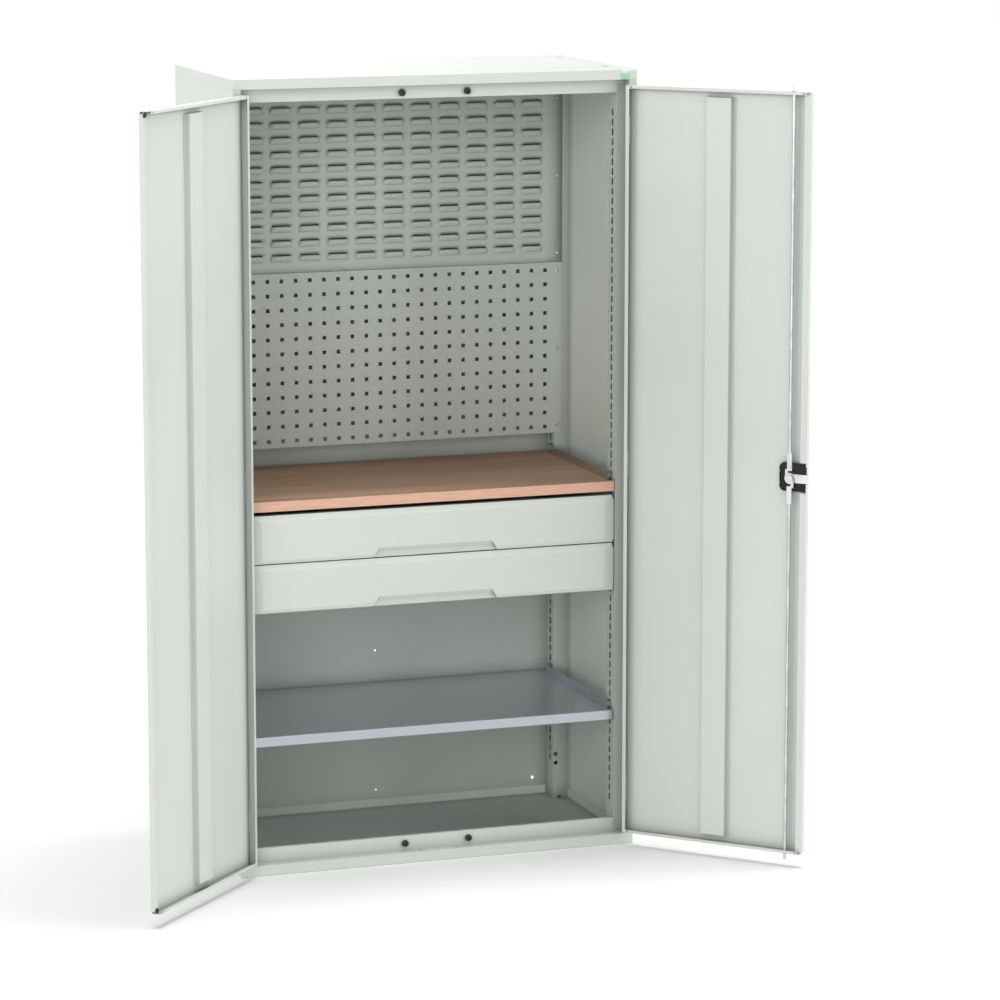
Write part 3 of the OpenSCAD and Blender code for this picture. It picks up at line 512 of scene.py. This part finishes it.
def wall_faces(rings, count, looped=False):
    """Faces from ring to ring. A looped wall ends where it began, another gets two caps."""
    spans = [(ring, (ring + 1) % rings) for ring in range(rings if looped else rings - 1)]
    faces = [(a * count + k, a * count + (k + 1) % count, b * count + (k + 1) % count, b * count + k)
             for a, b in spans for k in range(count)]
    caps = [tuple(range(count)), tuple((rings - 1) * count + k for k in range(count))]
    return faces if looped else faces + caps


def joined(parts):
    """Several (vertices, faces) made one, with each part's faces counted on."""
    vertices, faces = [], []
    for some_vertices, some_faces in parts:
        shift = len(vertices)
        vertices += some_vertices
        faces += [tuple(v + shift for v in face) for face in some_faces]
    return vertices, faces


print("mesh helpers ready")

# %% [markdown]
# ## Geometry Nodes by hand
# What repeats is laid out by Geometry Nodes. A tree is built in the script with named
# inputs, run once on a single shape, and its result is kept as a plain mesh.


# %% Geometry Nodes helpers
def new_tree(name, inputs):
    """A tree with a geometry going in and out, and the named inputs between."""
    tree = bpy.data.node_groups.new(name, "GeometryNodeTree")
    tree.interface.new_socket("Geometry", in_out="INPUT", socket_type="NodeSocketGeometry")
    for label, kind in inputs.items():
        tree.interface.new_socket(label, in_out="INPUT", socket_type="NodeSocket" + kind)
    tree.interface.new_socket("Geometry", in_out="OUTPUT", socket_type="NodeSocketGeometry")
    return tree, tree.nodes.new("NodeGroupInput").outputs, tree.nodes.new("NodeGroupOutput").inputs


def run_tree(thing, tree, values):
    """Sets the inputs by their identifiers, then swaps the mesh for the tree's result."""
    modifier = thing.modifiers.new(tree.name, "NODES")
    modifier.node_group = tree
    for item in tree.interface.items_tree:
        if item.in_out == "INPUT" and item.name in values:
            modifier[item.identifier] = values[item.name]
    graph = bpy.context.evaluated_depsgraph_get()
    result = bpy.data.meshes.new_from_object(thing.evaluated_get(graph))
    thing.modifiers.remove(modifier)
    thing.data = result


print("geometry helpers ready")

# %% [markdown]
# ## Louvre panel
# A louvre is cut along its upper edge and pressed outwards, so the sheet stays in one
# piece. One cell of the sheet is shaped as a single surface with its louvre: nine
# strips across, four up, and a ring of faces out to the cell's border. Geometry Nodes
# lay the cell out in rows and columns and weld the seams. Solidify then gives the
# sheet its thickness.

# %% One louvre cell
SHEET = 1.5 * MM
GRID = 38 * MM
PANEL_Y = 212.5 * MM
LOUVRE_OUT = 6.6 * MM
ACROSS = (-1, -0.94, -0.82, -0.62, -0.2, 0.2, 0.62, 0.82, 0.94, 1)
SWELL_ACROSS = (0, 0.42, 0.88, 1, 1, 1, 1, 0.88, 0.42, 0)
HALF_WIDTHS = [w * MM for w in (26.0, 29.2, 30.0, 29.4, 24.6)]
HEIGHTS = [h * MM for h in (-9.5, -8.1, -4.8, 1.0, 6.6)]
SWELL_UP = (0, 0.34, 0.74, 0.95, 1)
WINDOW_TOP, WINDOW_HALF = 9.5 * MM, 25 * MM


def louvre_cell():
    width, rows = len(ACROSS), len(HEIGHTS)
    points = [(ACROSS[i] * HALF_WIDTHS[j], -LOUVRE_OUT * SWELL_ACROSS[i] * SWELL_UP[j], HEIGHTS[j])
              for j in range(rows) for i in range(width)]
    faces = [(j * width + i, j * width + i + 1, (j + 1) * width + i + 1, (j + 1) * width + i)
             for j in range(rows - 1) for i in range(width - 1)]
    top = len(points)
    points += [(a * WINDOW_HALF, 0, WINDOW_TOP) for a in ACROSS]
    right = [j * width + width - 1 for j in range(1, rows)]
    left = [j * width for j in range(1, rows)]
    inner = [*range(width), *right, *range(top + width - 1, top - 1, -1), *left[::-1]]
    side = [GRID * (j / rows - 0.5) for j in range(1, rows)]
    outer = [(a * GRID, 0, -GRID / 2) for a in ACROSS] + [(GRID, 0, z) for z in side]
    outer += [(a * GRID, 0, GRID / 2) for a in ACROSS[::-1]] + [(-GRID, 0, z) for z in side[::-1]]
    start = len(points)
    points += outer
    for k in range(len(inner)):
        after = (k + 1) % len(inner)
        faces.append((inner[k], start + k, start + after, inner[after]))
    return points, faces, side


cell_points, cell_faces, cell_side = louvre_cell()
print("louvre cell:", len(cell_points), "points,", len(cell_faces), "faces")

# %% Tree: a sheet of cells
SEAM = 0.00002

tree, given, result = new_tree("sheet_of_cells", {
    "Columns": "Int", "Rows": "Int", "Column pitch": "Float", "Row pitch": "Float",
    "Centre": "Vector", "Finish": "Material"})
size_x, size_y = [maths(tree, "MULTIPLY", maths(tree, "SUBTRACT", given[count], 1), given[pitch])
                  for count, pitch in (("Columns", "Column pitch"), ("Rows", "Row pitch"))]
lattice = add_node(tree, "GeometryNodeMeshGrid", {
    "Size X": size_x, "Size Y": size_y, "Vertices X": given["Columns"], "Vertices Y": given["Rows"]})
upright = add_node(tree, "GeometryNodeTransform", {
    "Geometry": lattice.outputs["Mesh"], "Rotation": (math.pi / 2, 0, 0), "Translation": given["Centre"]})
copies = add_node(tree, "GeometryNodeInstanceOnPoints", {
    "Points": upright.outputs[0], "Instance": given["Geometry"]})
real = add_node(tree, "GeometryNodeRealizeInstances", {"Geometry": copies.outputs[0]})
welded = add_node(tree, "GeometryNodeMergeByDistance", {"Geometry": real.outputs[0], "Distance": SEAM})
finished = add_node(tree, "GeometryNodeSetMaterial", {
    "Geometry": welded.outputs[0], "Material": given["Finish"]})
tree.links.new(finished.outputs[0], result["Geometry"])
sheet_of_cells = tree
print("tree:", sheet_of_cells.name)

# %% Louvre sheet
COLUMNS, ROWS = 12, 11
LOUVRE_LOW_ROW = 1498.5 * MM
centre_z = LOUVRE_LOW_ROW + GRID * (ROWS - 1) / 2
louvre_sheet = piece("louvre_sheet", cell_points, cell_faces, paint_inside, None)
run_tree(louvre_sheet, sheet_of_cells, {
    "Columns": COLUMNS, "Rows": ROWS, "Column pitch": 2 * GRID, "Row pitch": GRID,
    "Centre": (0, PANEL_Y, centre_z), "Finish": paint_inside})
print("louvres:", COLUMNS * ROWS, "faces:", len(louvre_sheet.data.polygons))

# %% [markdown]
# ### The panel's border
# The field of cells ends short of the panel's edges. A border of flat faces fills the
# rest. Its corners fall on the points along the field's edge, so it welds to them.

# %% Panel border and thickness
panel_low, panel_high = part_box("louvre_panel")
column_middles = [(2 * c + 1 - COLUMNS) * GRID for c in range(COLUMNS)]
row_middles = [LOUVRE_LOW_ROW + r * GRID for r in range(ROWS)]
xs = sorted({round(middle + a * GRID, 6) for middle in column_middles for a in ACROSS})
zs = sorted({round(middle + z, 6) for middle in row_middles for z in (-GRID / 2, *cell_side, GRID / 2)})
border_xs = [panel_low[0], *xs, panel_high[0]]
border_zs = [panel_low[2], *zs, panel_high[2]]
sheet_mesh = bmesh.new()
sheet_mesh.from_mesh(louvre_sheet.data)
for i in range(len(border_xs) - 1):
    for k in range(len(border_zs) - 1):
        if i in (0, len(border_xs) - 2) or k in (0, len(border_zs) - 2):
            corners = [(border_xs[i + a], PANEL_Y, border_zs[k + b])
                       for a, b in ((0, 0), (1, 0), (1, 1), (0, 1))]
            sheet_mesh.faces.new([sheet_mesh.verts.new(c) for c in corners])
bmesh.ops.remove_doubles(sheet_mesh, verts=sheet_mesh.verts, dist=SEAM)
for face in sheet_mesh.faces:
    if face.normal.y > 0:
        face.normal_flip()
sheet_mesh.to_mesh(louvre_sheet.data)
sheet_mesh.free()
thickness = louvre_sheet.modifiers.new("thickness", "SOLIDIFY")
thickness.thickness = SHEET
thickness.offset = -1
shade_smooth(louvre_sheet, 40)
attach(louvre_sheet, "carcass")
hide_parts("louvre_panel")
print("faces with the border, before thickness:", len(louvre_sheet.data.polygons))

# %% [markdown]
# ## Panel screws
# Twelve pan-head screws with a cross recess hold the two panels. One head is turned as
# a lathe would, with its inner rings pulled into a cross, and three nested rows of
# Geometry Nodes place it: along a panel, from panel to panel, and from side to side.

# %% One screw
CROSS_WAIST = 0.42


def screw_head(radius, height, steps=24):
    """A domed head turned about Y. Its last two rings are the recess, mouth and floor."""
    dome = [(radius * 0.98, -0.0002), (radius, 0.0002), (radius * 0.97, height * 0.45),
            (radius * 0.85, height * 0.78), (radius * 0.62, height)]
    recess = [(radius * 0.5, height), (radius * 0.42, height * 0.35)]
    quarter = steps // 4
    vertices = []
    for number, (size, out) in enumerate(dome + recess):
        for step in range(steps):
            turn = 2 * math.pi * step / steps
            full = number < len(dome) or step % quarter in (0, 1, quarter - 1)
            reach = size if full else size * CROSS_WAIST
            vertices.append((reach * math.cos(turn), -out, reach * math.sin(turn)))
    return vertices, wall_faces(len(dome + recess), steps)


head_vertices, head_faces = screw_head(4.6 * MM, 2.2 * MM)
print("screw head:", len(head_vertices), "points,", len(head_faces), "faces")

# %% Tree: nested rows
tree, given, result = new_tree("nested_rows", {
    "Screws": "Int", "Screw step": "Vector", "Panels": "Int", "Panel step": "Vector",
    "Sides": "Int", "Side step": "Vector", "Start": "Vector", "Finish": "Material"})
shape = given["Geometry"]
for count, step in (("Screws", "Screw step"), ("Panels", "Panel step"), ("Sides", "Side step")):
    row = add_node(tree, "GeometryNodeMeshLine", {"Count": given[count], "Offset": given[step]})
    shape = add_node(tree, "GeometryNodeInstanceOnPoints", {
        "Points": row.outputs[0], "Instance": shape}).outputs[0]
placed = add_node(tree, "GeometryNodeTransform", {"Geometry": shape, "Translation": given["Start"]})
real = add_node(tree, "GeometryNodeRealizeInstances", {"Geometry": placed.outputs[0]})
finished = add_node(tree, "GeometryNodeSetMaterial", {
    "Geometry": real.outputs[0], "Material": given["Finish"]})
tree.links.new(finished.outputs[0], result["Geometry"])
nested_rows = tree
print("tree:", nested_rows.name)

# %% Panel screws
SCREW_X, SCREW_STEP, PANEL_STEP, FIRST_SCREW = 490 * MM, 204 * MM, 456 * MM, 1028 * MM
SCREWS, PANELS, SIDES = 3, 2, 2
panel_screws = piece("panel_screw_heads", head_vertices, head_faces, steel, None)
run_tree(panel_screws, nested_rows, {
    "Screws": SCREWS, "Screw step": (0, 0, SCREW_STEP),
    "Panels": PANELS, "Panel step": (0, 0, PANEL_STEP),
    "Sides": SIDES, "Side step": (2 * SCREW_X, 0, 0),
    "Start": (-SCREW_X, PANEL_Y, FIRST_SCREW), "Finish": steel})
shade_smooth(panel_screws)
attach(panel_screws, "carcass")
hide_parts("panel_screws")
print("screws placed:", SCREWS * PANELS * SIDES, "faces:", len(panel_screws.data.polygons))

# %% [markdown]
# ## Door coordinates
# What sits on a door is easiest to describe on the door itself: how far from the hinge
# edge, how deep from the outer skin, and how high, all in millimetres. This function
# turns that into the cabinet's frame, with the door standing open as in the photograph.

# %% Door coordinates
DOOR_TURN = math.radians(133.8)
EDGE_X, FRONT_Y = 502.0, -275.0
AXIS_X, AXIS_Y = 503.6, -275.5
LOCK_ALONG, LOCK_HEIGHT = 454.0, 999.0


def door_point(along, deep, height, side=1):
    """A point on the right door (side 1) or the left door (side -1), from millimetres."""
    x, y = EDGE_X - along - AXIS_X, FRONT_Y + deep - AXIS_Y
    turned_x = AXIS_X + x * math.cos(DOOR_TURN) - y * math.sin(DOOR_TURN)
    turned_y = AXIS_Y + x * math.sin(DOOR_TURN) + y * math.cos(DOOR_TURN)
    return Vector((side * turned_x * MM, turned_y * MM, height * MM))


def at_lock(along, deep, height):
    return door_point(LOCK_ALONG + along, deep, LOCK_HEIGHT + height)


print("lock spindle at:", [round(v, 4) for v in at_lock(0, 0, 0)])

# %% [markdown]
# ## Lock housing
# The black housing behind the tongue is moulded with ribs in rings around the spindle,
# which stiffen it. Its outline is cut at the corners and dented twice on the hinge
# side. The ribs are short swept bars, kept only where they fall inside the outline.

# %% Housing outline
HOUSING = [(-21, -33), (40, -33), (43, -30), (43, 36), (40, 39), (-21, 39), (-28, 33), (-31, 23),
           (-28, 19), (-30, 15), (-30, -9), (-28, -13), (-31, -17), (-28, -27)]
SHARPEST_CORNER = 0.5


def shrunk(outline, inset):
    """The outline moved inwards along its corner bisectors."""
    moved = []
    for before, here, after in zip(outline[-1:] + outline[:-1], outline, outline[1:] + outline[:1]):
        a = (Vector(here) - Vector(before)).normalized()
        b = (Vector(after) - Vector(here)).normalized()
        inward = Vector((-(a + b).y, (a + b).x)).normalized()
        straightness = max(SHARPEST_CORNER, inward.dot(Vector((-a.y, a.x))))
        moved.append(tuple(Vector(here) + inward * inset / straightness))
    return moved


def inside(outline, point):
    """Counts how many sides a level line from the point crosses: odd means inside."""
    crossings = 0
    for (x0, z0), (x1, z1) in zip(outline, outline[1:] + outline[:1]):
        level_with = (z0 > point[1]) != (z1 > point[1])
        if level_with and point[0] < x0 + (point[1] - z0) * (x1 - x0) / (z1 - z0):
            crossings += 1
    return crossings % 2 == 1


print("housing outline:", len(HOUSING), "corners")

# %% Housing walls and ribs
HOUSING_FOOT, HOUSING_FACE, RIB_TOP = 1.25, 6.0, 10.9
RIB_WIDTH, RIB_SINK, RIB_EDGE = 2.6, 0.4, 0.5


def stacked(levels):
    """A closed wall through outlines of equal count, each (outline, depth)."""
    vertices = [at_lock(along, depth, height) for outline, depth in levels for along, height in outline]
    return vertices, wall_faces(len(levels), len(levels[0][0]))


def swept_bar(radius, width, from_turn, to_turn, step):
    """A rib along an arc: a small roofed bar with closed ends."""
    foot, eaves = HOUSING_FACE - RIB_SINK, RIB_TOP - RIB_EDGE
    section = [(-width / 2, foot), (-width / 2, eaves), (-width / 4, RIB_TOP),
               (width / 4, RIB_TOP), (width / 2, eaves), (width / 2, foot)]
    vertices = []
    stops = max(1, round((to_turn - from_turn) / step))
    for stop in range(stops + 1):
        turn = from_turn + (to_turn - from_turn) * stop / stops
        for out, depth in section:
            reach = radius + out
            vertices.append(at_lock(reach * math.cos(turn), depth, reach * math.sin(turn)))
    return vertices, wall_faces(stops + 1, len(section))


print("ribs stand", round(RIB_TOP - HOUSING_FACE, 1), "mm over the housing's face")

# %% Lock housing
RIM_INSETS, RIM_BEVEL = (0.7, 2.2, 2.6), 0.8
RIB_INSET = 3.4
RIB_RADII = (18, 23.5, 29, 34.5, 40, 45.5)
STEPS_ROUND = 72
STEP = math.radians(360 / STEPS_ROUND)


def runs(kept):
    """The first and last number of each stretch of steps that are kept one after another."""
    found, first = [], 0
    while first < STEPS_ROUND:
        if kept[first] and kept[first + 1]:
            last = first + 1
            while last < STEPS_ROUND and kept[last + 1]:
                last += 1
            found.append((first, last))
            first = last
        first += 1
    return found


outer_rim, inner_rim, floor_edge = [shrunk(HOUSING, inset) for inset in RIM_INSETS]
parts = [stacked([(HOUSING, HOUSING_FOOT), (HOUSING, RIB_TOP - RIM_BEVEL), (outer_rim, RIB_TOP),
                  (inner_rim, RIB_TOP), (floor_edge, HOUSING_FACE)])]
rib_field = shrunk(HOUSING, RIB_INSET)
for radius in RIB_RADII:
    kept = [inside(rib_field, (radius * math.cos(k * STEP), radius * math.sin(k * STEP)))
            for k in range(STEPS_ROUND + 1)]
    parts += [swept_bar(radius, RIB_WIDTH, first * STEP, last * STEP, STEP) for first, last in runs(kept)]
lock_housing = piece("lock_housing_ribbed", *joined(parts), black_plastic, "right_door")
shade_smooth(lock_housing, 30)
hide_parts("lock_housing")
print("housing ribs:", len(parts) - 1)

# %% [markdown]
# ## Rubber buffers
# Turned rubber pads soften the doors' closing: four on the frame, two on the left
# door. Their rims are rounded and a screw hole runs through the middle.

# %% Buffer shape
FRAME_PAD = {"radius": 8.5, "height": 6.5}
DOOR_PAD = {"radius": 6.5, "height": 3.5, "hole": 1.6}


def rubber_ring(radius, height, hole=2.0, steps=32):
    """A ring of rubber that stands on Z = 0 and is turned about Z, from millimetres."""
    section = [(hole, 0), (radius, 0), (radius, height - 1.4), (radius - 0.4, height - 0.5),
               (radius - 1.3, height), (hole + 1.2, height), (hole + 0.3, height - 0.8)]
    turns = [2 * math.pi * step / steps for step in range(steps)]
    vertices = [Vector((r * math.cos(turn), r * math.sin(turn), z)) * MM
                for r, z in section for turn in turns]
    return vertices, wall_faces(len(section), steps, looped=True)


def standing(part, place, axis):
    """The part moved to a place, with its Z turned along an axis."""
    turn = Vector(axis).normalized().to_track_quat("Z", "Y").to_matrix()
    return [turn @ v + Vector(place) for v in part[0]], part[1]


print("pads on the frame:", FRAME_PAD, "on the door:", DOOR_PAD)

# %% Buffers
RAIL_Y = -246.0 * MM
FRAME_PAD_XS, FRAME_PAD_HEIGHTS = (-85, 85), (1955.5, 45.1)
DOOR_PAD_ALONG, DOOR_PAD_DEEP, DOOR_PAD_HEIGHTS = 494, 10.5, (44.6, 1953.4)
LEFT = -1

frame_pads = [standing(rubber_ring(**FRAME_PAD), (x * MM, RAIL_Y, z * MM), (0, -1, 0))
              for x in FRAME_PAD_XS for z in FRAME_PAD_HEIGHTS]
pads_on_frame = piece("frame_rubber_pads", *joined(frame_pads), rubber, "carcass")
inward = door_point(0, 1, 0, LEFT) - door_point(0, 0, 0, LEFT)
door_pads = [standing(rubber_ring(**DOOR_PAD), door_point(DOOR_PAD_ALONG, DOOR_PAD_DEEP, z, LEFT), inward)
             for z in DOOR_PAD_HEIGHTS]
pads_on_door = piece("left_door_rubber_pads", *joined(door_pads), rubber, "left_door")
for thing, node in ((pads_on_frame, "frame_buffers"), (pads_on_door, "left_door_buffers")):
    shade_smooth(thing, 40)
    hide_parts(node)
print("buffers:", len(frame_pads), "+", len(door_pads))

# %% [markdown]
# ## Rounded edges
# No folded sheet or planed board has a razor edge. The CAD nodes stay as they are; a
# Weld and a Bevel modifier soften the edges that catch the light. The radii are in
# millimetres.

# %% Rounded edges
EDGE_RADIUS = {
    "top_cap": 0.6, "plinth": 0.6, "top_rail": 0.5, "side_wall_left": 0.5, "side_wall_right": 0.5,
    "worktop": 1.2, "shelf": 0.5, "upper_drawer_front": 0.5, "lower_drawer_front": 0.5,
    "left_door_panel": 0.45, "right_door_panel": 0.45, "left_door_rib": 0.4, "right_door_rib": 0.4,
    "escutcheon": 0.8, "lock_lever": 1.6, "badge_plate": 0.3, "worktop_hangers": 0.4, "shelf_hangers": 0.4,
}
LOOSE_CORNER = 0.000005
LEAST_BEND = math.radians(38)
for name, radius in EDGE_RADIUS.items():
    weld = nodes[name].modifiers.new("weld", "WELD")
    weld.merge_threshold = LOOSE_CORNER
    soften = nodes[name].modifiers.new("soft_edges", "BEVEL")
    soften.width = radius * MM
    soften.segments = 2
    soften.limit_method = "ANGLE"
    soften.angle_limit = LEAST_BEND
    soften.harden_normals = True
print("softened nodes:", len(EDGE_RADIUS))
